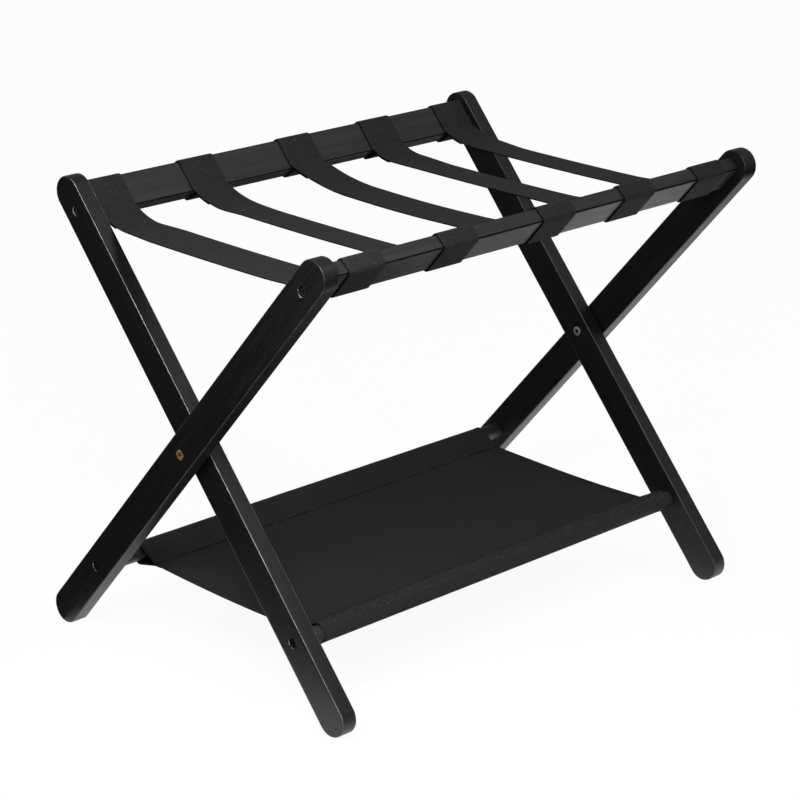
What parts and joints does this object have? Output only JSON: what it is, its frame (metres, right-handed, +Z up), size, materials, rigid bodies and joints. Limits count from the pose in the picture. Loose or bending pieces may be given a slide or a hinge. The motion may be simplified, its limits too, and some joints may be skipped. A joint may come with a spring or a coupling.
{
  "type": "folding luggage rack",
  "caption": "Folding luggage rack: two crossed pairs of wooden legs on a pivot, webbing straps between two top rails, and a fabric shelf between two low bars.",
  "frame": {"origin": "on the floor, under the middle of the open rack's bounding box", "axes": "+X along the rails and the pivot axis, +Y towards the back rail, +Z up"},
  "size_m": [0.6658, 0.4602, 0.5215],
  "materials": {
    "painted_wood": "black satin paint over wood grain, worn lighter along the edges",
    "bare_wood": "plain turned hardwood, hidden in the joint",
    "webbing": "black ribbed webbing, matte",
    "shelf_cloth": "black plain-weave fabric, matte",
    "brass": "satin",
    "nickel": "satin nickel plate",
    "black_steel": "black oxide",
    "nylon": "smooth black nylon"
  },
  "bodies": {
    "outer_frame": {"front_rail_dowel_left": "bare_wood", "front_rail_dowel_right": "bare_wood", "front_rail_screw_left": "black_steel", "front_rail_screw_right": "black_steel", "front_top_rail": "painted_wood", "outer_leg_left": "painted_wood", "outer_leg_right": "painted_wood", "pivot_bolt_left": "nickel", "pivot_bolt_right": "nickel", "pivot_sleeve_nut_left": "brass", "pivot_sleeve_nut_right": "brass", "pivot_washer_left": "nylon", "pivot_washer_right": "nylon", "rear_bar_screw_left": "black_steel", "rear_bar_screw_right": "black_steel", "rear_shelf_bar": "painted_wood", "shelf_panel": "shelf_cloth", "shelf_rear_sleeve": "shelf_cloth", "strap_1_front_loop": "webbing", "strap_1_span": "webbing", "strap_2_front_loop": "webbing", "strap_2_span": "webbing", "strap_3_front_loop": "webbing", "strap_3_span": "webbing", "strap_4_front_loop": "webbing", "strap_4_span": "webbing", "strap_5_front_loop": "webbing", "strap_5_span": "webbing"},
    "inner_frame": {"back_rail_dowel_left": "bare_wood", "back_rail_dowel_right": "bare_wood", "back_rail_screw_left": "black_steel", "back_rail_screw_right": "black_steel", "back_top_rail": "painted_wood", "front_bar_screw_left": "black_steel", "front_bar_screw_right": "black_steel", "front_shelf_bar": "painted_wood", "inner_leg_left": "painted_wood", "inner_leg_right": "painted_wood", "shelf_front_sleeve": "shelf_cloth", "strap_1_back_loop": "webbing", "strap_2_back_loop": "webbing", "strap_3_back_loop": "webbing", "strap_4_back_loop": "webbing", "strap_5_back_loop": "webbing"}
  },
  "joints": [
    {"name": "fold", "type": "hinge", "parent": "outer_frame", "child": "inner_frame", "pos_m": [0, 0, 0.26166], "axis": [1, 0, 0], "range_deg": [0, 74.5], "deforming": ["shelf_panel", "strap_1_span", "strap_2_span", "strap_3_span", "strap_4_span", "strap_5_span"]}
  ]
}
